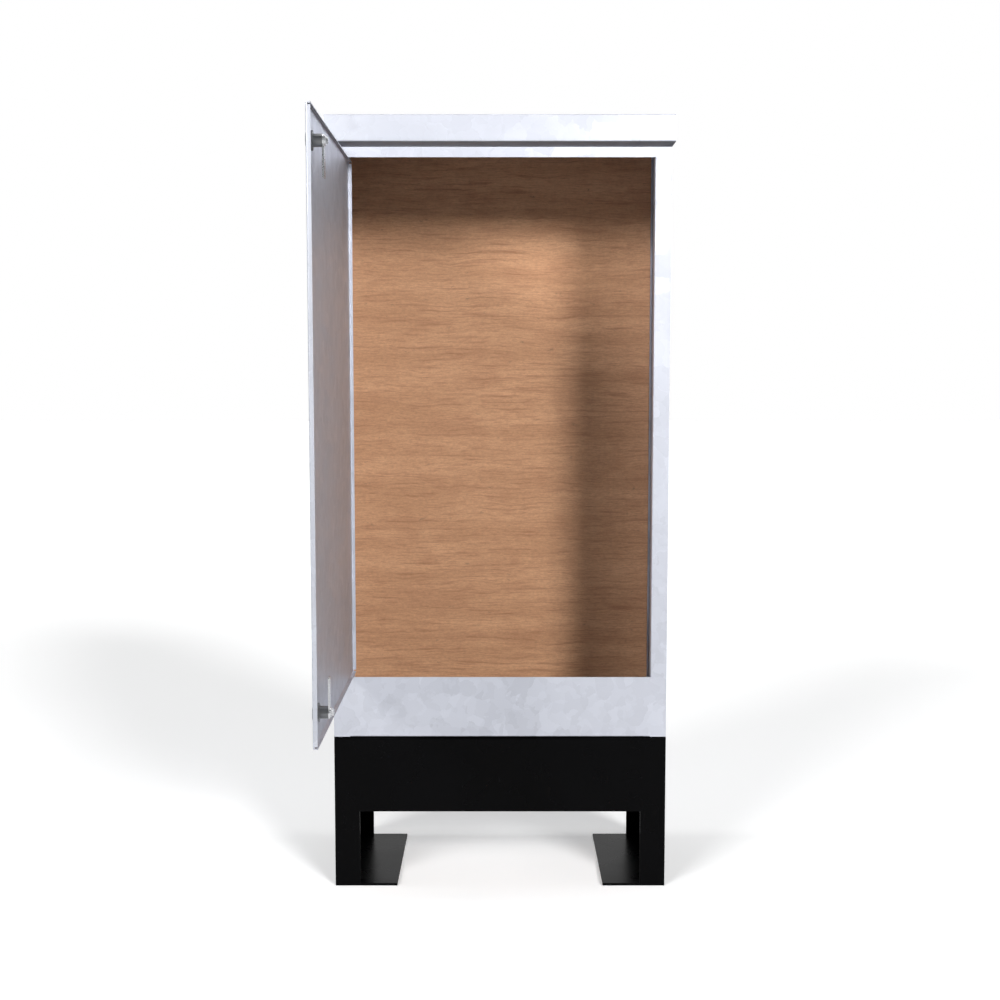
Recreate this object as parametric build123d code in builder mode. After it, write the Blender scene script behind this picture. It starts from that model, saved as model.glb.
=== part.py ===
from build123d import *
from math import atan, cos, sin, tan
import os

# Outdoor feeder pillar: a galvanised sheet-steel cabinet with a canopy roof, a front door
# on concealed pin hinges with two quarter-turn locks, a plywood backboard in lift-and-drop
# channels, and a black steel root section with foot plates.
# Millimetres. Origin on the ground at the middle of the footprint, +X to the right of a
# person facing the door opening, +Y to the back, +Z up. The door stands open at 90 degrees.

# Cabinet envelope
body_width = 650.0
body_depth = 300.0
root_height = 300.0
plinth_height = 118.5
opening_height = 997.5
head_height = 19.0
jamb_width = 31.5
fascia_height = 50.0
canopy_overhang = 60.0
roof_fall = 6.0

# Cabinet sheet metal
sheet = 2.0
bend_inside = 1.0
keep_depth = 22.0
body_flange = 30.0
flange_end_gap = 1.5

# Root section
root_plate = 5.0
root_bend_inside = 1.0
foot_plate = 5.0
apron_height = 150.0
leg_face = 49.0
foot_width = 122.0
root_flange = 32.0

# Bolts between the cabinet and the root
bolt_diameter = 10.0
bolt_length = 25.0
bolt_across_flats = 17.0
bolt_head_height = 6.4
nut_height = 8.4
washer_diameter = 20.0
washer_thickness = 2.0
bolt_hole = 11.0
bolt_edge = 17.0
bolt_inset = 55.0
thread_clearance = 0.05

# Backboard and its channels
board_thickness = 12.0
board_width = 633.0
board_drop = 80.0
channel_sheet = 3.0
channel_leg = 22.0
channel_grip_low = 6.0
channel_grip_high = 3.5
channel_lift = 7.5
channel_length = 560.0
board_clearance = 0.3
roof_clearance = 0.5

# Door
door_gap = 1.5
door_tray_depth = 8.0
corner_relief = 2.5
pivot_setback = 22.5
stop_clearance = 0.3

# Hinges
pin_diameter = 8.0
pin_running_clearance = 0.05
pin_head_diameter = 12.0
pin_head_height = 2.5
pin_beyond_clip = 3.0
arm_sheet = 3.0
arm_width = 23.0
arm_bend_inside = 1.0
arm_eye_radius = 10.0
arm_rise = 9.0
arm_end_margin = 1.0
hinge_running_gap = 0.3
bush_diameter = 14.0
bush_flange_diameter = 20.0
bush_flange_thickness = 1.5
bush_stand_out = 1.5
bracket_sheet = 3.0
bracket_width = 36.0
bracket_past_pivot = 14.0
bracket_leg = 30.0
clip_outside = 12.0
clip_thickness = 1.0
clip_groove_depth = 0.7
clip_clearance = 0.1
clip_mouth = 5.0

# Quarter-turn locks
lock_from_free_edge = 30.0
lock_from_door_end = 53.0
housing_diameter = 20.0
housing_hole_clearance = 0.1
housing_flange_diameter = 30.0
housing_flange_thickness = 2.5
lock_nut_across_flats = 27.0
lock_nut_thickness = 6.0
spindle_diameter = 12.0
spindle_running_clearance = 0.05
spindle_head_diameter = 16.5
spindle_head_thickness = 2.0
spindle_head_recess = 1.0
spindle_end_gap = 0.3
pocket_clearance = 0.25
key_width = 8.0
square_drive = 8.0
square_drive_short = 0.3
square_clearance = 0.05
cam_thickness = 3.0
cam_width = 16.0
cam_hub_radius = 10.0
cam_reach = 57.0
cam_corner_radius = 1.5
cam_clearance = 0.3
cam_washer_diameter = 16.0
cam_washer_thickness = 1.6
cam_bolt_diameter = 6.0
cam_bolt_across_flats = 10.0
cam_bolt_head_height = 4.0
cam_bolt_length = 14.0
tapped_depth_spare = 3.0

# Small finishing sizes
edge_break = 0.6

# Places worked out from the sizes above
half_width = body_width / 2
back_y = body_depth / 2
front_y = -back_y
frame_back_y = front_y + sheet
wall_inside_x = half_width - sheet
wall_inside_y = back_y - sheet
canopy_y = front_y - canopy_overhang
opening_half = half_width - jamb_width
opening_bottom = root_height + plinth_height
opening_top = opening_bottom + opening_height
opening_middle = Plane.XY.offset((opening_bottom + opening_top) / 2)
soffit_z = opening_top + head_height
fascia_top = soffit_z + fascia_height
outer_bend = bend_inside + sheet
flange_half = half_width - body_flange - flange_end_gap

roof_slope = atan(roof_fall / (back_y - canopy_y))
roof_underside = fascia_top - sheet / cos(roof_slope)


def roof_underside_at(y):
    """Height of the roof's underside at a distance y from the middle of the footprint."""
    return roof_underside - tan(roof_slope) * (y - canopy_y)


def save(piece, node):
    """Name a finished piece and write it as its own STEP file."""
    piece.label = node
    export_step(piece, f"parts/{node}.step")


def folded_section(points, outer_radius, thickness):
    """Section of folded sheet: the outer line through the points, thickened to its right."""
    with BuildSketch(mode=Mode.PRIVATE) as section:
        with BuildLine():
            FilletPolyline(*points, radius=outer_radius)
            offset(amount=thickness, side=Side.RIGHT)
        make_face()
    return section.sketch


os.makedirs("parts", exist_ok=True)

# Bolt places on the front and rear flanges
bolt_row_x = half_width - bolt_inset
front_bolts = [(x, front_y + bolt_edge) for x in (-bolt_row_x, 0, bolt_row_x)]
rear_bolts = [(x, back_y - bolt_edge) for x in (-bolt_row_x, 0, bolt_row_x)]

# Body wrap: sides and back folded from one sheet, with the canopy's cheeks on the sides
with BuildPart() as body_wrap:
    with BuildSketch(Plane.XY.offset(root_height + outer_bend)):
        add(
            folded_section(
                [
                    (-half_width, frame_back_y),
                    (-half_width, back_y),
                    (half_width, back_y),
                    (half_width, frame_back_y),
                ],
                outer_bend,
                sheet,
            )
        )
    extrude(amount=fascia_top - root_height - outer_bend)
    # Canopy cheeks, inside the roof sheet's fold
    with BuildSketch(Plane.YZ.offset(wall_inside_x)):
        with BuildLine():
            Polyline(
                (frame_back_y, soffit_z + sheet),
                (canopy_y + sheet, soffit_z + sheet),
                (canopy_y + sheet, fascia_top),
                (frame_back_y, fascia_top),
                close=True,
            )
        make_face()
    extrude(amount=sheet)
    mirror(about=Plane.YZ)
    split(
        bisect_by=Plane(
            origin=(0, canopy_y, roof_underside),
            z_dir=(0, sin(roof_slope), cos(roof_slope)),
        ),
        keep=Keep.BOTTOM,
    )
    cheek_corners = body_wrap.edges().filter_by(Axis.X).group_by(Axis.Y)[0]
    fillet(cheek_corners, radius=outer_bend - bend_inside / 2)
    # Bottom flanges, folded inwards on both sides and at the back
    with BuildSketch(Plane.XZ.offset(-back_y + outer_bend)):
        add(
            folded_section(
                [
                    (half_width, root_height + outer_bend + sheet),
                    (half_width, root_height),
                    (half_width - body_flange, root_height),
                ],
                outer_bend,
                sheet,
            )
        )
    extrude(amount=back_y - outer_bend - frame_back_y)
    mirror(about=Plane.YZ)
    with BuildSketch(Plane.YZ):
        add(
            folded_section(
                [
                    (back_y, root_height + outer_bend + sheet),
                    (back_y, root_height),
                    (back_y - body_flange, root_height),
                ],
                outer_bend,
                sheet,
            )
        )
    extrude(amount=flange_half, both=True)
    with BuildSketch(Plane.XY.offset(root_height)):
        with Locations(*rear_bolts):
            Circle(bolt_hole / 2)
    extrude(amount=sheet, mode=Mode.SUBTRACT)
save(body_wrap.part, "body_wrap")

# Front frame: one sheet with the door opening cut out, a keep folded back on the lock side
# and a flange folded inwards along the bottom
with BuildPart() as front_frame:
    with BuildSketch(Plane.XZ.offset(-front_y)):
        with BuildLine():
            Polyline(
                (-half_width, root_height),
                (-flange_half, root_height),
                (-flange_half, root_height + outer_bend),
                (flange_half, root_height + outer_bend),
                (flange_half, root_height),
                (half_width, root_height),
                (half_width, soffit_z),
                (-half_width, soffit_z),
                close=True,
            )
        make_face()
        with BuildLine():
            Polyline(
                (-opening_half, opening_bottom),
                (opening_half + outer_bend, opening_bottom),
                (opening_half + outer_bend, opening_top),
                (-opening_half, opening_top),
                close=True,
            )
        make_face(mode=Mode.SUBTRACT)
    extrude(amount=-sheet)
    # Keep for the lock cams
    with BuildSketch(Plane.XY.offset(opening_bottom)):
        add(
            folded_section(
                [
                    (opening_half + outer_bend + sheet, front_y),
                    (opening_half, front_y),
                    (opening_half, front_y + keep_depth),
                ],
                outer_bend,
                sheet,
            )
        )
    extrude(amount=opening_height)
    # Bottom flange
    with BuildSketch(Plane.YZ):
        add(
            folded_section(
                [
                    (front_y + body_flange, root_height),
                    (front_y, root_height),
                    (front_y, root_height + outer_bend + sheet),
                ],
                outer_bend,
                sheet,
            )
        )
    extrude(amount=flange_half, both=True)
    with BuildSketch(Plane.XY.offset(root_height)):
        with Locations(*front_bolts):
            Circle(bolt_hole / 2)
    extrude(amount=sheet, mode=Mode.SUBTRACT)
save(front_frame.part, "front_frame")

# Roof: soffit, fascia and top folded from one sheet, laid over the cheeks and the back
with BuildPart() as roof_sheet:
    with BuildSketch(Plane.YZ):
        add(
            folded_section(
                [
                    (frame_back_y, soffit_z),
                    (canopy_y, soffit_z),
                    (canopy_y, fascia_top),
                    (back_y, fascia_top - roof_fall),
                ],
                outer_bend,
                sheet,
            )
        )
    extrude(amount=half_width, both=True)
save(roof_sheet.part, "roof_sheet")

# Backboard: it is lifted into the upper channel and dropped into the lower one
board_back_y = wall_inside_y - channel_sheet
board_front_y = board_back_y - board_thickness
board_bottom = opening_bottom - board_drop
channel_top = roof_underside_at(wall_inside_y) - roof_clearance
board_top = channel_top - channel_sheet - channel_lift
lip_y = board_front_y - board_clearance - channel_sheet
channel_bend = bend_inside + channel_sheet
board_edge_break = bend_inside + board_clearance

with BuildPart() as backboard:
    with BuildSketch(Plane.XZ.offset(-board_back_y)):
        with BuildLine():
            Polyline(
                (-board_width / 2, board_bottom),
                (board_width / 2, board_bottom),
                (board_width / 2, board_top),
                (-board_width / 2, board_top),
                close=True,
            )
        make_face()
    extrude(amount=board_thickness)
    chamfer(backboard.edges(), length=board_edge_break)
save(backboard.part, "backboard")

with BuildPart() as lower_channel:
    with BuildSketch(Plane.YZ):
        add(
            folded_section(
                [
                    (wall_inside_y, board_bottom - channel_sheet + channel_leg),
                    (wall_inside_y, board_bottom - channel_sheet),
                    (lip_y, board_bottom - channel_sheet),
                    (lip_y, board_bottom + channel_grip_low),
                ],
                channel_bend,
                channel_sheet,
            )
        )
    extrude(amount=channel_length / 2, both=True)
save(lower_channel.part, "backboard_channel_lower")

with BuildPart() as upper_channel:
    with BuildSketch(Plane.YZ):
        add(
            folded_section(
                [
                    (lip_y, board_top - channel_grip_high),
                    (lip_y, channel_top),
                    (wall_inside_y, channel_top),
                    (wall_inside_y, channel_top - channel_leg),
                ],
                channel_bend,
                channel_sheet,
            )
        )
    extrude(amount=channel_length / 2, both=True)
save(upper_channel.part, "backboard_channel_upper")

# Root section: side plates down to the ground, foot plates welded inside them, and a
# portal plate at the front and at the rear that stands on the foot plates
with BuildPart() as root_side_right:
    with BuildSketch(Plane.XY):
        with Locations((half_width - root_plate / 2, 0)):
            Rectangle(root_plate, body_depth)
    extrude(amount=root_height)
save(root_side_right.part, "root_side_right")

with BuildPart() as root_side_left:
    mirror(root_side_right.part, about=Plane.YZ)
save(root_side_left.part, "root_side_left")

foot_length = foot_width - root_plate

with BuildPart() as foot_plate_right:
    with BuildSketch(Plane.XY):
        with Locations((half_width - root_plate - foot_length / 2, 0)):
            Rectangle(foot_length, body_depth)
    extrude(amount=foot_plate)
save(foot_plate_right.part, "foot_plate_right")

with BuildPart() as foot_plate_left:
    mirror(foot_plate_right.part, about=Plane.YZ)
save(foot_plate_left.part, "foot_plate_left")

portal_half = half_width - root_plate
root_bend = root_bend_inside + root_plate

with BuildPart() as root_front:
    with BuildSketch(Plane.XZ.offset(-front_y)):
        with BuildLine():
            Polyline(
                (-portal_half, foot_plate),
                (-half_width + leg_face, foot_plate),
                (-half_width + leg_face, apron_height),
                (half_width - leg_face, apron_height),
                (half_width - leg_face, foot_plate),
                (portal_half, foot_plate),
                (portal_half, root_height - root_bend),
                (-portal_half, root_height - root_bend),
                close=True,
            )
        make_face()
    extrude(amount=-root_plate)
    with BuildSketch(Plane.YZ):
        add(
            folded_section(
                [
                    (front_y, root_height - root_bend - root_plate),
                    (front_y, root_height),
                    (front_y + root_flange, root_height),
                ],
                root_bend,
                root_plate,
            )
        )
    extrude(amount=portal_half, both=True)
    with BuildSketch(Plane.XY.offset(root_height)):
        with Locations(*front_bolts):
            Circle(bolt_hole / 2)
    extrude(amount=-root_plate, mode=Mode.SUBTRACT)
save(root_front.part, "root_front")

with BuildPart() as root_rear:
    mirror(root_front.part, about=Plane.XZ)
save(root_rear.part, "root_rear")

# Bolts, washers and nuts that hold the cabinet on the root
bolt_seat = root_height + sheet
bolt_head_bottom = bolt_seat + washer_thickness
nut_top = root_height - root_plate

with BuildPart() as base_bolts:
    with BuildSketch(Plane.XY.offset(bolt_head_bottom)):
        with Locations(*front_bolts, *rear_bolts):
            RegularPolygon(bolt_across_flats / 2, 6, major_radius=False)
    extrude(amount=bolt_head_height)
    chamfer(base_bolts.edges().group_by(Axis.Z)[-1], length=edge_break)
    with BuildSketch(Plane.XY.offset(bolt_head_bottom)):
        with Locations(*front_bolts, *rear_bolts):
            Circle(bolt_diameter / 2)
    extrude(amount=-bolt_length)
save(base_bolts.part, "base_bolts")

with BuildPart() as base_washers:
    with BuildSketch(Plane.XY.offset(bolt_seat)):
        with Locations(*front_bolts, *rear_bolts):
            Circle(washer_diameter / 2)
            Circle(bolt_hole / 2, mode=Mode.SUBTRACT)
    extrude(amount=washer_thickness)
save(base_washers.part, "base_washers")

with BuildPart() as base_nuts:
    with BuildSketch(Plane.XY.offset(nut_top)):
        with Locations(*front_bolts, *rear_bolts):
            RegularPolygon(bolt_across_flats / 2, 6, major_radius=False)
            Circle(bolt_diameter / 2 + thread_clearance, mode=Mode.SUBTRACT)
    extrude(amount=-nut_height)
save(base_nuts.part, "base_nuts")

# Door. Closed, its outer face is flush with the front frame. Open at 90 degrees, the same
# face stands clear of the jamb's edge by the stop clearance.
pivot_x = -opening_half + stop_clearance + pivot_setback
pivot_y = front_y + pivot_setback
door_x = pivot_x - pivot_setback
door_width = 2 * (opening_half - door_gap)
hinge_edge_y = pivot_y + (pivot_x + opening_half - door_gap)
door_bottom = opening_bottom + door_gap
door_top = opening_top - door_gap
door_height = door_top - door_bottom

# Local axes on the door's outer face: x up, y from the hinge edge to the free edge, z inwards
door_face = Plane(origin=(door_x, hinge_edge_y, 0), x_dir=(0, 0, 1), z_dir=(1, 0, 0))
door_centre = ((door_bottom + door_top) / 2, door_width / 2)
lock_y = door_width - lock_from_free_edge
lock_heights = {
    "upper": door_top - lock_from_door_end,
    "lower": door_bottom + lock_from_door_end,
}
lock_places = [(z, lock_y) for z in lock_heights.values()]
relief_places = [
    (x, y)
    for x in (
        door_bottom + sheet + corner_relief / 2,
        door_top - sheet - corner_relief / 2,
    )
    for y in (sheet / 2, door_width - sheet / 2)
]

with BuildPart() as door_panel:
    with BuildSketch(door_face):
        with Locations(door_centre):
            Rectangle(door_height, door_width)
    extrude(amount=door_tray_depth)
    fillet(door_panel.faces().sort_by(Axis.X)[0].edges(), radius=outer_bend)
    offset(amount=-sheet, openings=door_panel.faces().sort_by(Axis.X)[-1])
    # Corner reliefs between the folded returns
    with BuildSketch(door_face.offset(outer_bend)):
        with Locations(*relief_places):
            Rectangle(corner_relief, sheet)
    extrude(amount=door_tray_depth - outer_bend, mode=Mode.SUBTRACT)
    with BuildSketch(door_face):
        with Locations(*lock_places):
            Circle(housing_diameter / 2 + housing_hole_clearance)
    extrude(amount=sheet, mode=Mode.SUBTRACT)
save(door_panel.part, "door_panel")

# Hinges. Each has an angled arm that stands on the door's end return, out of sight behind
# the front frame, a headed pin through its eye, a flanged bush, and a bracket on the
# cabinet's side. The lower set mirrors the upper one.
arm_top = opening_top + arm_rise + arm_sheet
bush_flange_bottom = arm_top + hinge_running_gap
shelf_bottom = bush_flange_bottom + bush_flange_thickness
shelf_top = shelf_bottom + bracket_sheet
bush_top = shelf_top + bush_stand_out
clip_bottom = bush_top + hinge_running_gap
clip_groove_top = clip_bottom + clip_thickness + clip_clearance
pin_top = clip_groove_top + pin_beyond_clip
pivot = (pivot_x, pivot_y)

with BuildPart() as upper_hinge_arm:
    with BuildSketch(
        Plane(
            origin=(door_x, hinge_edge_y - arm_end_margin, 0),
            x_dir=(1, 0, 0),
            z_dir=(0, -1, 0),
        )
    ):
        add(
            folded_section(
                [
                    (outer_bend, door_top),
                    (outer_bend, arm_top),
                    (pivot_setback, arm_top),
                ],
                arm_bend_inside + arm_sheet,
                arm_sheet,
            )
        )
    extrude(amount=arm_width)
    with BuildSketch(Plane.XY.offset(arm_top)):
        with Locations(pivot):
            Circle(arm_eye_radius)
    extrude(amount=-arm_sheet)
    with BuildSketch(Plane.XY.offset(arm_top)):
        with Locations(pivot):
            Circle(pin_diameter / 2 + thread_clearance)
    extrude(amount=-arm_sheet, mode=Mode.SUBTRACT)
save(upper_hinge_arm.part, "upper_hinge_arm")

with BuildPart() as upper_hinge_pin:
    with BuildSketch(Plane.XY.offset(arm_top - arm_sheet)):
        with Locations(pivot):
            Circle(pin_head_diameter / 2)
    extrude(amount=-pin_head_height)
    with BuildSketch(Plane.XY.offset(arm_top - arm_sheet)):
        with Locations(pivot):
            Circle(pin_diameter / 2)
    extrude(amount=pin_top - arm_top + arm_sheet)
    chamfer(upper_hinge_pin.edges().group_by(Axis.Z)[-1], length=edge_break)
    chamfer(upper_hinge_pin.edges().group_by(Axis.Z)[0], length=edge_break)
    # Groove for the retaining clip
    with BuildSketch(Plane.XY.offset(clip_bottom)):
        with Locations(pivot):
            Circle(pin_diameter / 2 + clip_groove_depth)
            Circle(pin_diameter / 2 - clip_groove_depth, mode=Mode.SUBTRACT)
    extrude(amount=clip_thickness + clip_clearance, mode=Mode.SUBTRACT)
save(upper_hinge_pin.part, "upper_hinge_pin")

with BuildPart() as upper_hinge_bush:
    with BuildSketch(Plane.XY.offset(bush_flange_bottom)):
        with Locations(pivot):
            Circle(bush_flange_diameter / 2)
    extrude(amount=bush_flange_thickness)
    with BuildSketch(Plane.XY.offset(shelf_bottom)):
        with Locations(pivot):
            Circle(bush_diameter / 2)
    extrude(amount=bush_top - shelf_bottom)
    with BuildSketch(Plane.XY.offset(bush_flange_bottom)):
        with Locations(pivot):
            Circle(pin_diameter / 2 + pin_running_clearance)
    extrude(amount=bush_top - bush_flange_bottom, mode=Mode.SUBTRACT)
save(upper_hinge_bush.part, "upper_hinge_bush")

with BuildPart() as upper_hinge_bracket:
    with BuildSketch(Plane.XZ.offset(-pivot_y)):
        add(
            folded_section(
                [
                    (pivot_x + bracket_past_pivot, shelf_bottom),
                    (-wall_inside_x, shelf_bottom),
                    (-wall_inside_x, shelf_bottom + bracket_leg),
                ],
                bend_inside + bracket_sheet,
                bracket_sheet,
            )
        )
    extrude(amount=bracket_width / 2, both=True)
    with BuildSketch(Plane.XY.offset(shelf_bottom)):
        with Locations(pivot):
            Circle(bush_diameter / 2)
    extrude(amount=bracket_sheet, mode=Mode.SUBTRACT)
save(upper_hinge_bracket.part, "upper_hinge_bracket")

for upper, node in (
    (upper_hinge_arm, "lower_hinge_arm"),
    (upper_hinge_pin, "lower_hinge_pin"),
    (upper_hinge_bush, "lower_hinge_bush"),
    (upper_hinge_bracket, "lower_hinge_bracket"),
):
    with BuildPart() as lower:
        mirror(upper.part, about=opening_middle)
    save(lower.part, node)

with BuildPart() as hinge_clips:
    with BuildSketch(Plane.XY.offset(clip_bottom)):
        with Locations(pivot):
            Circle(clip_outside / 2)
            Circle(pin_diameter / 2 - clip_groove_depth + clip_clearance, mode=Mode.SUBTRACT)
        with Locations((pivot_x, pivot_y - clip_outside / 2)):
            Rectangle(clip_mouth, clip_outside, mode=Mode.SUBTRACT)
    extrude(amount=clip_thickness)
    mirror(about=opening_middle)
save(hinge_clips.part, "hinge_clips")

# Locks. Each housing passes through the door and is held by a nut. A spindle turns in it
# and carries the cam, a washer and a bolt on its inner end. The cams are turned clear of
# the keep: the upper one points down and the lower one up.
cam_seat = keep_depth + cam_clearance
housing_end = cam_seat - spindle_end_gap
pocket_floor = spindle_head_recess + spindle_head_thickness + pocket_clearance
washer_seat = cam_seat + cam_thickness
bolt_head_seat = washer_seat + cam_washer_thickness

for place, cam_side in (("upper", -1), ("lower", 1)):
    lock_z = lock_heights[place]
    axis_point = (lock_z, lock_y)

    with BuildPart() as lock_housing:
        with BuildSketch(door_face):
            with Locations(axis_point):
                Circle(housing_flange_diameter / 2)
        extrude(amount=-housing_flange_thickness)
        chamfer(lock_housing.edges().group_by(Axis.X)[0], length=edge_break)
        with BuildSketch(door_face):
            with Locations(axis_point):
                Circle(housing_diameter / 2)
        extrude(amount=housing_end)
        chamfer(lock_housing.edges().group_by(Axis.X)[-1], length=edge_break)
        with BuildSketch(door_face.offset(-housing_flange_thickness)):
            with Locations(axis_point):
                Circle(spindle_head_diameter / 2 + pocket_clearance)
        extrude(amount=housing_flange_thickness + pocket_floor, mode=Mode.SUBTRACT)
        with BuildSketch(door_face):
            with Locations(axis_point):
                Circle(spindle_diameter / 2 + spindle_running_clearance)
        extrude(amount=housing_end, mode=Mode.SUBTRACT)
    save(lock_housing.part, f"{place}_lock_housing")

    with BuildPart() as lock_spindle:
        with BuildSketch(door_face.offset(spindle_head_recess)):
            with Locations(axis_point):
                Circle(spindle_head_diameter / 2)
        extrude(amount=spindle_head_thickness)
        with BuildSketch(door_face.offset(spindle_head_recess)):
            with Locations(axis_point):
                RegularPolygon(key_width / 2, 3, major_radius=False)
        extrude(amount=-spindle_head_recess - housing_flange_thickness)
        with BuildSketch(door_face.offset(spindle_head_recess)):
            with Locations(axis_point):
                Circle(spindle_diameter / 2)
        extrude(amount=cam_seat - spindle_head_recess)
        with BuildSketch(door_face.offset(cam_seat)):
            with Locations(axis_point):
                Rectangle(square_drive, square_drive)
        extrude(amount=cam_thickness - square_drive_short)
        with BuildSketch(door_face.offset(washer_seat)):
            with Locations(axis_point):
                Circle(cam_bolt_diameter / 2 + thread_clearance)
        extrude(amount=-cam_bolt_length - tapped_depth_spare, mode=Mode.SUBTRACT)
    save(lock_spindle.part, f"{place}_lock_spindle")

    with BuildPart() as lock_cam:
        with BuildSketch(door_face.offset(cam_seat)):
            with Locations((lock_z + cam_side * cam_reach / 2, lock_y)):
                bar = Rectangle(cam_reach, cam_width)
            fillet(
                bar.vertices().sort_by_distance((lock_z + cam_side * cam_reach, lock_y))[:2],
                radius=cam_corner_radius,
            )
            with Locations(axis_point):
                Circle(cam_hub_radius)
                Rectangle(
                    square_drive + 2 * square_clearance,
                    square_drive + 2 * square_clearance,
                    mode=Mode.SUBTRACT,
                )
        extrude(amount=cam_thickness)
    save(lock_cam.part, f"{place}_lock_cam")

    with BuildPart() as cam_washer:
        with BuildSketch(door_face.offset(washer_seat)):
            with Locations(axis_point):
                Circle(cam_washer_diameter / 2)
                Circle(cam_bolt_diameter / 2 + thread_clearance, mode=Mode.SUBTRACT)
        extrude(amount=cam_washer_thickness)
    save(cam_washer.part, f"{place}_cam_washer")

    with BuildPart() as cam_bolt:
        with BuildSketch(door_face.offset(bolt_head_seat)):
            with Locations(axis_point):
                RegularPolygon(cam_bolt_across_flats / 2, 6, major_radius=False)
        extrude(amount=cam_bolt_head_height)
        chamfer(cam_bolt.edges().group_by(Axis.X)[-1], length=edge_break)
        with BuildSketch(door_face.offset(bolt_head_seat)):
            with Locations(axis_point):
                Circle(cam_bolt_diameter / 2)
        extrude(amount=-cam_bolt_length)
    save(cam_bolt.part, f"{place}_cam_bolt")

with BuildPart() as lock_nuts:
    with BuildSketch(door_face.offset(sheet)):
        with Locations(*lock_places):
            RegularPolygon(lock_nut_across_flats / 2, 6, major_radius=False)
            Circle(housing_diameter / 2 + thread_clearance, mode=Mode.SUBTRACT)
    extrude(amount=lock_nut_thickness)
    chamfer(
        lock_nuts.edges().group_by(Axis.X)[-1].filter_by(GeomType.LINE),
        length=edge_break,
    )
save(lock_nuts.part, "lock_nuts")
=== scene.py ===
import math

import bpy
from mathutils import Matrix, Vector


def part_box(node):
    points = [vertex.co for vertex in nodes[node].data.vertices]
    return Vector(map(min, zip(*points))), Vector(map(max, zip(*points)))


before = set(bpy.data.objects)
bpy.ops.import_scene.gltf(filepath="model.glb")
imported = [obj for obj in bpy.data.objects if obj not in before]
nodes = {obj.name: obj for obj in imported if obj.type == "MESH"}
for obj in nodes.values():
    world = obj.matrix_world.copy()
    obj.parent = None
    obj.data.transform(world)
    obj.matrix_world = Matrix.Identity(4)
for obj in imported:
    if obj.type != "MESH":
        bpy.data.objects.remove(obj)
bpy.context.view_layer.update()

# Camera: 50 mm lens, 1 m above the ground, 5 degrees down
camera_distance = 2.821
camera_height = 0.9993
camera_pitch_deg = 5.0
camera_lens_mm = 50.0
camera_sensor_mm = 36.0

# Lamps on the object: azimuth from the front (to the right), distance along the ground and
# slope up to them from the middle of the opening's top edge, level there, and how wide each
# looks from there
lamp_aim = (0.0, -0.15, 1.416)
lamp_slope = 0.354
key_azimuth_deg = 31.0
key_distance = 6.8
key_level = 0.81
key_width_deg = 15.0
fill_azimuth_deg = -36.5
fill_distance = 5.2
fill_level = 0.57
fill_width_deg = 14.0

# The floor's own share of each lamp comes from far away, so its shadows keep their direction
floor_key_azimuth_deg = 30.0
floor_key_elevation_deg = 22.3
floor_key_width_deg = 16.0
floor_fill_azimuth_deg = -36.0
floor_fill_elevation_deg = 24.5
floor_fill_width_deg = 22.0
floor_lamp_gain = 1.15

# A long, narrow strip overhead lights the floor and every face that looks up
overhead_level = 0.24
overhead_height = 12.0
overhead_length = 12.0
overhead_depth = 0.5
overhead_x = -1.2

# World: light from above, on the camera's side and behind the object, and light from below.
# The level changes while a direction's Y part goes through the behind values, and while its
# Z part goes through the horizon values
sky_level = 0.04
sky_level_behind = 0.25
ground_level = 0.15
sky_colour = (0.96, 0.98, 1.0)
behind_start = -0.1
behind_full = 0.3
horizon_low = -0.3
horizon_high = 0.1
white = (1.0, 1.0, 1.0)

# Floor: half its width, how far it lies below the object, its paint and its own glow
floor_half = 30.0
floor_drop = 0.0002
floor_albedo = 0.90
floor_glow = 0.28

# The range that nearly all of a noise texture's values lie in
noise_low = 0.3
noise_high = 0.7

# Sockets of a Mix node that mixes colours
mix_factor = 0
mix_first = 6
mix_second = 7
mix_result = 2


def tree_of(name):
    """A new material with an empty node tree, and its output node."""
    material = bpy.data.materials.new(name)
    material.use_nodes = True
    tree = material.node_tree
    tree.nodes.clear()
    return material, tree, tree.nodes.new("ShaderNodeOutputMaterial")


def put(tree, kind, inputs=None, **settings):
    """Adds a node. Each input takes another node's output, a value or a colour of three parts."""
    made = tree.nodes.new(kind)
    for key, value in settings.items():
        setattr(made, key, value)
    for key, value in (inputs or {}).items():
        socket = made.inputs[key]
        if isinstance(value, bpy.types.NodeSocket):
            tree.links.new(value, socket)
        elif socket.type == "RGBA":
            socket.default_value = (*value, 1.0)
        else:
            socket.default_value = value
    return made


def principled(tree, output, inputs):
    """Ends a material with a Principled shader."""
    shader = put(tree, "ShaderNodeBsdfPrincipled", inputs)
    tree.links.new(shader.outputs[0], output.inputs[0])


def maths(tree, operation, first, second=0.0, third=0.0, clamp=False):
    """A Math node's output."""
    inputs = {0: first, 1: second, 2: third}
    return put(tree, "ShaderNodeMath", inputs, operation=operation, use_clamp=clamp).outputs[0]


def vectors(tree, operation, first, second=(0.0, 0.0, 0.0)):
    """A Vector Math node's vector output."""
    return put(tree, "ShaderNodeVectorMath", {0: first, 1: second}, operation=operation).outputs[0]


def remap(tree, value, start, end, to_start=0.0, to_end=1.0):
    """The value moved from one range to another, and held inside it. A range may run down."""
    inputs = {
        "Value": value,
        "From Min": start,
        "From Max": end,
        "To Min": to_start,
        "To Max": to_end,
    }
    return put(tree, "ShaderNodeMapRange", inputs).outputs[0]


def noise(tree, vector, scale, detail=2.0, roughness=0.5):
    """A noise texture's value, around 0.5."""
    inputs = {"Vector": vector, "Scale": scale, "Detail": detail, "Roughness": roughness}
    return put(tree, "ShaderNodeTexNoise", inputs).outputs["Fac"]


def noise_remap(tree, value, to_start, to_end):
    """A noise value's usual range moved to another range."""
    return remap(tree, value, noise_low, noise_high, to_start, to_end)


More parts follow.
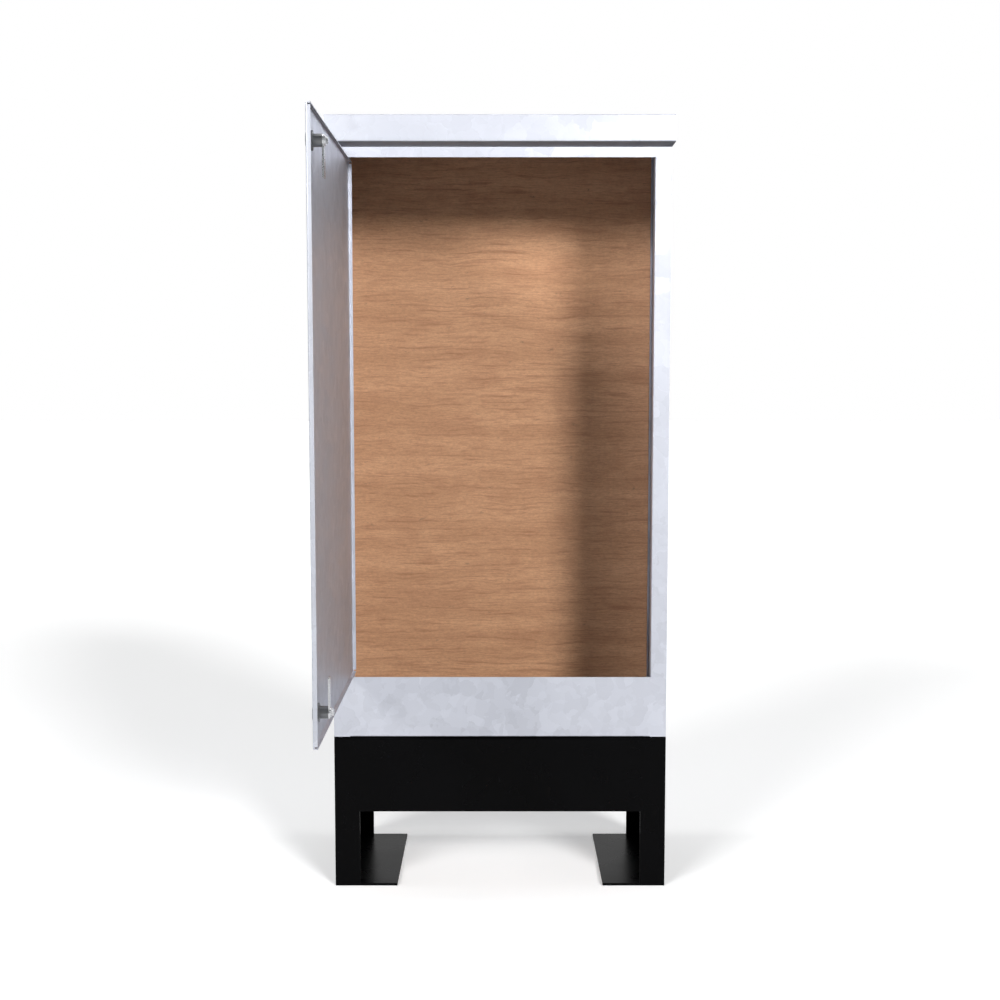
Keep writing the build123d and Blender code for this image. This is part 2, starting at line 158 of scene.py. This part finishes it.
def varied(tree, tone, value, spread):
    """A tone made darker and lighter by up to spread, by a noise value."""
    return maths(tree, "MULTIPLY", tone, noise_remap(tree, value, 1.0 - spread, 1.0 + spread))


def place(tree):
    """A point's own place in the row frame, which moves with its piece."""
    return put(tree, "ShaderNodeTexCoord").outputs["Object"]


def stretched(tree, vector, scale):
    """The vector scaled along X, Y and Z."""
    return vectors(tree, "MULTIPLY", vector, scale)


def centred(tree, colour):
    """A random colour as a vector around zero."""
    return vectors(tree, "SUBTRACT", colour, (0.5, 0.5, 0.5))


def jitter(tree, vector, scale, reach):
    """The vector moved by up to about reach metres, by noise of that scale."""
    cloud = put(tree, "ShaderNodeTexNoise", {"Vector": vector, "Scale": scale, "Detail": 1.0})
    shift = stretched(tree, centred(tree, cloud.outputs["Color"]), (2 * reach,) * 3)
    return vectors(tree, "ADD", vector, shift)


def tinted(tree, colour, factor):
    """A colour multiplied by a factor that varies over the surface."""
    level = put(tree, "ShaderNodeCombineXYZ", {0: factor, 1: factor, 2: factor}).outputs[0]
    return vectors(tree, "MULTIPLY", level, colour)


def mixed(tree, factor, first, second):
    """Two colours mixed by a factor; each is a colour or another node's output."""
    inputs = {mix_factor: factor, mix_first: first, mix_second: second}
    return put(tree, "ShaderNodeMix", inputs, data_type="RGBA").outputs[mix_result]


def bumped(tree, height, distance, strength, normal=None):
    """A bump node's normal."""
    inputs = {"Height": height, "Distance": distance, "Strength": strength}
    if normal is not None:
        inputs["Normal"] = normal
    return put(tree, "ShaderNodeBump", inputs).outputs[0]


# Zinc. Scales are per metre, and a jitter is a scale and a reach in metres. Two sizes of
# crystal add up to a level between 0 and 1, in steps, which sets the tone and the roughness
zinc_border_jitters = ((34.0, 0.011), (130.0, 0.0045), (420.0, 0.0012))
zinc_large_scale = 26.0
zinc_large_share = 0.62
zinc_small_scale = 47.0
zinc_small_share = 0.38
zinc_level_step = 0.17
zinc_level_low = 0.1
zinc_level_high = 0.85
zinc_cloud_scale = 5.5
zinc_cloud_spread = 0.035
zinc_fine_scale = 900.0
zinc_fine_spread = 0.01
zinc_lean = 0.035
zinc_bump_scale = 260.0
zinc_bump_distance = 0.00012
zinc_bump_strength = 0.6

# Undersides get painted shade, a darker tone, and are also made rougher and less metallic: the
# upward part of the normal where it starts and where it is full, and what it takes from the tone
# and adds to the roughness
underside_start = -0.4
underside_full = -0.9
underside_shade_depth = 0.52
underside_roughening = 0.45


def spangle_cells(tree, point, per_metre):
    """The crystals that a zinc bath leaves, with ragged borders: a random value and colour."""
    ragged = point
    for scale, reach in zinc_border_jitters:
        ragged = jitter(tree, ragged, scale, reach)
    cells = put(tree, "ShaderNodeTexVoronoi", {"Vector": ragged, "Scale": per_metre})
    parts = put(tree, "ShaderNodeSeparateColor", {"Color": cells.outputs["Color"]})
    return parts.outputs[0], cells.outputs["Color"]


def zinc_levels(tree, point):
    """The crystals' level in steps, and the random tilt of the large ones."""
    large, tilt = spangle_cells(tree, point, zinc_large_scale)
    small, _ = spangle_cells(tree, point, zinc_small_scale)
    share = maths(tree, "MULTIPLY", large, zinc_large_share)
    both = maths(tree, "MULTIPLY_ADD", small, zinc_small_share, share)
    return maths(tree, "SNAP", both, zinc_level_step), tilt


def zinc_normal(tree, point, tilt):
    """The face's normal, leaned a little by each large crystal, with a fine bump."""
    lean = stretched(tree, centred(tree, tilt), (zinc_lean,) * 3)
    facing = put(tree, "ShaderNodeNewGeometry").outputs["Normal"]
    leaned = vectors(tree, "NORMALIZE", vectors(tree, "ADD", facing, lean))
    height = noise(tree, point, zinc_bump_scale)
    return bumped(tree, height, zinc_bump_distance, zinc_bump_strength, leaned)


def underside_mask(tree):
    """1 on undersides, which get painted shade, and 0 on faces that look sideways or up."""
    turned = put(tree, "ShaderNodeTexCoord").outputs["Normal"]
    upward = put(tree, "ShaderNodeSeparateXYZ", {0: turned}).outputs["Z"]
    return remap(tree, upward, underside_start, underside_full)


def galvanised(name, colour, metallic, spread, rough_low, rough_high):
    """Hot-dip galvanised sheet: flat crystals of slightly different brightness and gloss, with
    painted shade on undersides.
    """
    material, tree, output = tree_of(name)
    point = place(tree)
    levels, tilt = zinc_levels(tree, point)
    underside = underside_mask(tree)
    tone = remap(tree, levels, zinc_level_low, zinc_level_high, 1.0 - spread, 1.0 + spread)
    tone = varied(tree, tone, noise(tree, point, zinc_cloud_scale, detail=3.0), zinc_cloud_spread)
    tone = varied(tree, tone, noise(tree, point, zinc_fine_scale), zinc_fine_spread)
    # Painted shade: the tone of undersides is darkened
    underside_shade = maths(tree, "MULTIPLY_ADD", underside, -underside_shade_depth, 1.0)
    tone = maths(tree, "MULTIPLY", tone, underside_shade)
    rough = remap(tree, levels, zinc_level_low, zinc_level_high, rough_high, rough_low)
    inputs = {
        "Base Color": tinted(tree, colour, tone),
        "Roughness": maths(tree, "MULTIPLY_ADD", underside, underside_roughening, rough),
        "Metallic": maths(tree, "MULTIPLY_ADD", underside, -metallic, metallic),
        "Specular IOR Level": 0.12,
        "Specular Tint": (0.5, 0.5, 0.5),
        "Normal": zinc_normal(tree, point, tilt),
    }
    principled(tree, output, inputs)
    return material


# Plywood. A place in the grain is scaled by its flattening and then wanders by two jitters
ply_flattening = (1.0, 1.0, 1.8)
ply_wander_jitters = ((7.0, 0.014), (30.0, 0.0035))
ply_pale = (0.690, 0.382, 0.211)
ply_middle = (0.575, 0.308, 0.164)
ply_brown = (0.355, 0.158, 0.080)
ply_grey = (0.200, 0.132, 0.080)
ply_mottle_low = 0.25
ply_mottle_high = 0.75
ply_mottle_spread = 0.16
ply_line_height = 0.6
ply_count = 9
ply_edge_colour = (0.27, 0.15, 0.09)
ply_edge_facing = 0.6


def grain(tree, point, scale, detail, roughness):
    """Noise that has its own scale along X, Y and Z."""
    return noise(tree, stretched(tree, point, scale), 1.0, detail, roughness)


def stained(tree, colour, stain, value, start, full, most):
    """The colour with a stain, which grows to its most as the value goes from start to full."""
    return mixed(tree, remap(tree, value, start, full, to_end=most), colour, stain)


def ply_wander(tree, point):
    """A point's place in the grain, which wanders a little."""
    wander = stretched(tree, point, ply_flattening)
    for scale, reach in ply_wander_jitters:
        wander = jitter(tree, wander, scale, reach)
    return wander


def veneer_colour(tree, point, wander, lines, short):
    """The face veneer: pale bands, brown lines, strokes and clouds, grey pores and a mottle."""
    bands = grain(tree, wander, (4.5, 4.0, 20.0), detail=4.0, roughness=0.6)
    mottle = grain(tree, point, (150.0, 120.0, 320.0), detail=3.0, roughness=0.75)
    clouds = grain(tree, point, (9.0, 9.0, 14.0), detail=3.0, roughness=0.6)
    pores = grain(tree, point, (34.0, 30.0, 75.0), detail=5.0, roughness=0.75)
    colour = stained(tree, ply_middle, ply_pale, bands, start=0.36, full=0.64, most=1.0)
    colour = stained(tree, colour, ply_brown, lines, start=0.47, full=0.28, most=0.66)
    colour = stained(tree, colour, ply_brown, short, start=0.55, full=0.31, most=0.46)
    colour = stained(tree, colour, ply_brown, clouds, start=0.48, full=0.30, most=0.25)
    colour = stained(tree, colour, ply_grey, pores, start=0.38, full=0.28, most=0.70)
    dark = 1.0 - ply_mottle_spread
    light = 1.0 + ply_mottle_spread
    return tinted(tree, colour, remap(tree, mottle, ply_mottle_low, ply_mottle_high, dark, light))


def edge_plies(tree, point):
    """1 on every second ply of the board's edges, and 0 elsewhere."""
    low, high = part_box("backboard")
    ply = (high.y - low.y) / ply_count
    across = put(tree, "ShaderNodeSeparateXYZ", {0: point}).outputs["Y"]
    depth = maths(tree, "DIVIDE", maths(tree, "SUBTRACT", across, low.y), ply)
    stripe = maths(tree, "GREATER_THAN", maths(tree, "MODULO", depth, 2.0), 1.0)
    facing = put(tree, "ShaderNodeNewGeometry").outputs["Normal"]
    turned = put(tree, "ShaderNodeSeparateXYZ", {0: facing}).outputs["Y"]
    on_edge = maths(tree, "LESS_THAN", maths(tree, "ABSOLUTE", turned), ply_edge_facing)
    return maths(tree, "MULTIPLY", stripe, on_edge)


def plywood(name):
    """Sanded face veneer with horizontal grain, and the plies' ends on the board's edges."""
    material, tree, output = tree_of(name)
    point = place(tree)
    wander = ply_wander(tree, point)
    lines = grain(tree, wander, (10.0, 9.0, 105.0), detail=3.0, roughness=0.6)
    short = grain(tree, wander, (42.0, 38.0, 210.0), detail=4.0, roughness=0.7)
    colour = veneer_colour(tree, point, wander, lines, short)
    height = maths(tree, "MULTIPLY_ADD", lines, ply_line_height, short)
    inputs = {
        "Base Color": mixed(tree, edge_plies(tree, point), colour, ply_edge_colour),
        "Roughness": noise_remap(tree, short, to_start=0.62, to_end=0.5),
        "Specular IOR Level": 0.3,
        "Normal": bumped(tree, height, distance=0.0003, strength=0.45),
    }
    principled(tree, output, inputs)
    return material


# Coating and small metal parts: how far the roughness and the tone go down and up, and the
# scale of the metal's mottle as a share of its grain's
coat_tone_low = 0.85
coat_tone_high = 1.2
coat_rough_spread = 0.03
metal_tone_spread = 0.08
metal_rough_down = 0.05
metal_rough_up = 0.07
metal_mottle_share = 0.12


def coated(name, colour, rough):
    """Satin black coating on plate, with the faint ripple of a dipped or sprayed coat."""
    material, tree, output = tree_of(name)
    point = place(tree)
    ripple = noise(tree, point, scale=330.0)
    wide = noise(tree, point, scale=11.0, detail=3.0)
    tone = noise_remap(tree, wide, coat_tone_low, coat_tone_high)
    inputs = {
        "Base Color": tinted(tree, colour, tone),
        "Roughness": noise_remap(tree, wide, rough - coat_rough_spread, rough + coat_rough_spread),
        "Specular IOR Level": 0.06,
        "Normal": bumped(tree, ripple, distance=0.00006, strength=0.4),
    }
    principled(tree, output, inputs)
    return material


def metal(name, colour, rough, grain_scale):
    """Plain small metal parts: cast, plated or sintered."""
    material, tree, output = tree_of(name)
    point = place(tree)
    fine = noise(tree, point, grain_scale, detail=3.0)
    wide = noise(tree, point, grain_scale * metal_mottle_share)
    tone = noise_remap(tree, wide, 1.0 - metal_tone_spread, 1.0 + metal_tone_spread)
    inputs = {
        "Base Color": tinted(tree, colour, tone),
        "Roughness": noise_remap(tree, fine, rough - metal_rough_down, rough + metal_rough_up),
        "Metallic": 1.0,
        "Normal": bumped(tree, fine, distance=0.00005, strength=0.5),
    }
    principled(tree, output, inputs)
    return material


def dress(material, *names):
    """Gives CAD nodes one material."""
    for name in names:
        data = nodes[name].data
        data.materials.clear()
        data.materials.append(material)


zinc_sheet = galvanised(
    "galvanised",
    colour=(0.705, 0.727, 0.802),
    metallic=0.82,
    spread=0.075,
    rough_low=0.405,
    rough_high=0.485,
)
zinc_bracket = galvanised(
    "galvanised_bracket",
    colour=(0.60, 0.62, 0.68),
    metallic=0.63,
    spread=0.07,
    rough_low=0.42,
    rough_high=0.52,
)
board = plywood("plywood")
black = coated("root_coating", colour=(0.0015, 0.0015, 0.0018), rough=0.28)
plated = metal("plated_steel", colour=(0.62, 0.62, 0.60), rough=0.34, grain_scale=700.0)
bronze = metal("bush_bronze", colour=(0.55, 0.38, 0.20), rough=0.45, grain_scale=900.0)
casting = metal("lock_casting", colour=(0.22, 0.225, 0.23), rough=0.36, grain_scale=500.0)
bright = metal("cam_zinc", colour=(0.72, 0.73, 0.75), rough=0.28, grain_scale=600.0)

dress(zinc_sheet, "body_wrap", "front_frame", "roof_sheet", "door_panel")
dress(zinc_bracket, "backboard_channel_upper", "backboard_channel_lower")
dress(board, "backboard")
dress(black, "root_side_left", "root_side_right", "root_front", "root_rear")
dress(black, "foot_plate_left", "foot_plate_right")
dress(plated, "base_bolts", "base_washers", "base_nuts", "hinge_clips")
dress(casting, "lock_nuts")
for tier in ("upper", "lower"):
    dress(zinc_bracket, f"{tier}_hinge_arm", f"{tier}_hinge_bracket")
    dress(plated, f"{tier}_hinge_pin")
    dress(bronze, f"{tier}_hinge_bush")
    dress(casting, f"{tier}_lock_housing", f"{tier}_lock_spindle")
    dress(bright, f"{tier}_lock_cam", f"{tier}_cam_washer", f"{tier}_cam_bolt")


def glow_level(tree):
    """The floor's glow, which only the camera sees. It grows away from the middle of the
    floor, to make up for the overhead strip, which is weaker there."""
    reach = put(tree, "ShaderNodeVectorMath", {0: place(tree)}, operation="LENGTH")
    squared = maths(tree, "POWER", reach.outputs["Value"], 2.0)
    near = overhead_height**2
    closeness = maths(tree, "DIVIDE", near, maths(tree, "ADD", squared, near))
    share = maths(tree, "POWER", closeness, 2.0)
    lost = overhead_level * floor_albedo
    fade = maths(tree, "MULTIPLY_ADD", share, -lost, floor_glow + lost)
    seen = put(tree, "ShaderNodeLightPath").outputs["Is Camera Ray"]
    return maths(tree, "MULTIPLY", seen, fade)


def floor_paint():
    """Matt white paint with a glow."""
    material, tree, output = tree_of("floor")
    matt = put(tree, "ShaderNodeBsdfDiffuse", {"Color": (floor_albedo,) * 3})
    glow = put(tree, "ShaderNodeEmission", {"Strength": glow_level(tree)})
    both = put(tree, "ShaderNodeAddShader", {0: matt.outputs[0], 1: glow.outputs[0]})
    tree.links.new(both.outputs[0], output.inputs[0])
    return material


def make_floor():
    """A pale floor that shows white where it is lit and keeps the object's shadow."""
    corners = [(-1, -1), (1, -1), (1, 1), (-1, 1)]
    data = bpy.data.meshes.new("floor")
    points = [(x * floor_half, y * floor_half, -floor_drop) for x, y in corners]
    data.from_pydata(points, [], [(0, 1, 2, 3)])
    data.materials.append(floor_paint())
    floor = bpy.data.objects.new("floor", data)
    bpy.context.scene.collection.objects.link(floor)
    # Matt light from below comes from the world, at ground_level, and not from the floor
    floor.visible_diffuse = False
    return floor


def make_world():
    """White where it is seen, white behind the object in its gloss, and a dim room as light."""
    world = bpy.data.worlds.new("studio")
    bpy.context.scene.world = world
    world.use_nodes = True
    tree = world.node_tree
    tree.nodes.clear()
    output = tree.nodes.new("ShaderNodeOutputWorld")
    direction = put(tree, "ShaderNodeTexCoord").outputs["Generated"]
    parts = put(tree, "ShaderNodeSeparateXYZ", {0: direction}).outputs
    behind = remap(tree, parts["Y"], behind_start, behind_full)
    above = maths(tree, "MULTIPLY_ADD", behind, sky_level_behind - sky_level, sky_level)
    level = remap(tree, parts["Z"], horizon_low, horizon_high, ground_level, above)
    path = put(tree, "ShaderNodeLightPath").outputs
    gloss = maths(tree, "ADD", path["Is Glossy Ray"], path["Is Transmission Ray"], clamp=True)
    white_share = maths(tree, "MULTIPLY_ADD", behind, gloss, path["Is Camera Ray"], clamp=True)
    dim = put(tree, "ShaderNodeBackground", {"Color": sky_colour, "Strength": level})
    full = put(tree, "ShaderNodeBackground", {"Color": white, "Strength": 1.0})
    inputs = {0: white_share, 1: dim.outputs[0], 2: full.outputs[0]}
    chosen = put(tree, "ShaderNodeMixShader", inputs)
    tree.links.new(chosen.outputs[0], output.inputs[0])


def group_of(name, members, state):
    """A collection that includes or excludes some objects for light linking."""
    group = bpy.data.collections.new(name)
    for member in members:
        group.objects.link(member)
    for linked in group.collection_objects:
        linked.light_linking.link_state = state
    return group


def aimed_lamp(name, kind, to_lamp):
    """A lamp placed by the vector from the aim to it, and turned to shine back along it."""
    data = bpy.data.lights.new(name, kind)
    lamp = bpy.data.objects.new(name, data)
    bpy.context.scene.collection.objects.link(lamp)
    lamp.location = Vector(lamp_aim) + to_lamp
    lamp.rotation_mode = "QUATERNION"
    lamp.rotation_quaternion = to_lamp.to_track_quat("Z", "Y")
    return lamp


def near_lamp(name, azimuth_deg, distance, level, width_deg):
    """A round soft lamp. Level 1 shows a white face at the aim, square to it, as 1."""
    azimuth = math.radians(azimuth_deg)
    to_lamp = Vector((math.sin(azimuth), -math.cos(azimuth), lamp_slope)) * distance
    lamp = aimed_lamp(name, "AREA", to_lamp)
    lamp.data.shape = "DISK"
    lamp.data.size = 2 * to_lamp.length * math.tan(math.radians(width_deg) / 2)
    lamp.data.energy = level * math.pi**2 * to_lamp.length_squared
    return lamp


def far_lamp(name, azimuth_deg, elevation_deg, level, width_deg):
    """A far soft lamp. Level 1 shows any white face that is square to it as 1."""
    azimuth = math.radians(azimuth_deg)
    slope = math.tan(math.radians(elevation_deg))
    to_lamp = Vector((math.sin(azimuth), -math.cos(azimuth), slope))
    lamp = aimed_lamp(name, "SUN", to_lamp)
    lamp.data.energy = level * math.pi
    lamp.data.angle = math.radians(width_deg)
    return lamp


def studio_lamp(name, floor, azimuth_deg, distance, level, width_deg, floor_settings):
    """One lamp in three shares: the front frame, without the shadows of the roof and of the
    canopy's cheeks on the body; the floor, from far away; and everything else."""
    front = [nodes["front_frame"]]
    rest = near_lamp(name, azimuth_deg, distance, level, width_deg)
    rest.light_linking.receiver_collection = group_of(f"{name}_rest", front + [floor], "EXCLUDE")
    face = near_lamp(f"{name}_front", azimuth_deg, distance, level, width_deg)
    face.light_linking.receiver_collection = group_of(f"{name}_lit", front, "INCLUDE")
    canopy = [nodes["roof_sheet"], nodes["body_wrap"]]
    face.light_linking.blocker_collection = group_of(f"{name}_open", canopy, "EXCLUDE")
    floor_azimuth_deg, floor_elevation_deg, floor_width_deg = floor_settings
    far = (floor_azimuth_deg, floor_elevation_deg, level * floor_lamp_gain, floor_width_deg)
    ground = far_lamp(f"{name}_floor", *far)
    ground.light_linking.receiver_collection = group_of(f"{name}_ground", [floor], "INCLUDE")


def overhead_lamp():
    """The overhead strip, which shines straight down."""
    data = bpy.data.lights.new("overhead", "AREA")
    data.shape = "RECTANGLE"
    data.size = overhead_length
    data.size_y = overhead_depth
    # Level times pi is the light on each square metre of floor right below the strip
    data.energy = overhead_level * math.pi**2 * overhead_height**2
    lamp = bpy.data.objects.new("overhead", data)
    lamp.location = (overhead_x, 0.0, overhead_height)
    bpy.context.scene.collection.objects.link(lamp)


def make_lamps(floor):
    """The key lamp from the right, the fill lamp from the left, and the overhead strip."""
    key = (key_azimuth_deg, key_distance, key_level, key_width_deg)
    fill = (fill_azimuth_deg, fill_distance, fill_level, fill_width_deg)
    floor_key = (floor_key_azimuth_deg, floor_key_elevation_deg, floor_key_width_deg)
    floor_fill = (floor_fill_azimuth_deg, floor_fill_elevation_deg, floor_fill_width_deg)
    studio_lamp("key", floor, *key, floor_key)
    studio_lamp("fill", floor, *fill, floor_fill)
    overhead_lamp()


def make_camera():
    """The photograph's camera, straight in front of the object."""
    data = bpy.data.cameras.new("camera")
    data.lens = camera_lens_mm
    data.sensor_width = camera_sensor_mm
    camera = bpy.data.objects.new("camera", data)
    camera.location = (0.0, -camera_distance, camera_height)
    camera.rotation_euler = (math.radians(90.0 - camera_pitch_deg), 0.0, 0.0)
    bpy.context.scene.collection.objects.link(camera)
    bpy.context.scene.camera = camera


make_world()
make_lamps(make_floor())
make_camera()
bpy.context.scene.view_settings.view_transform = "Standard"
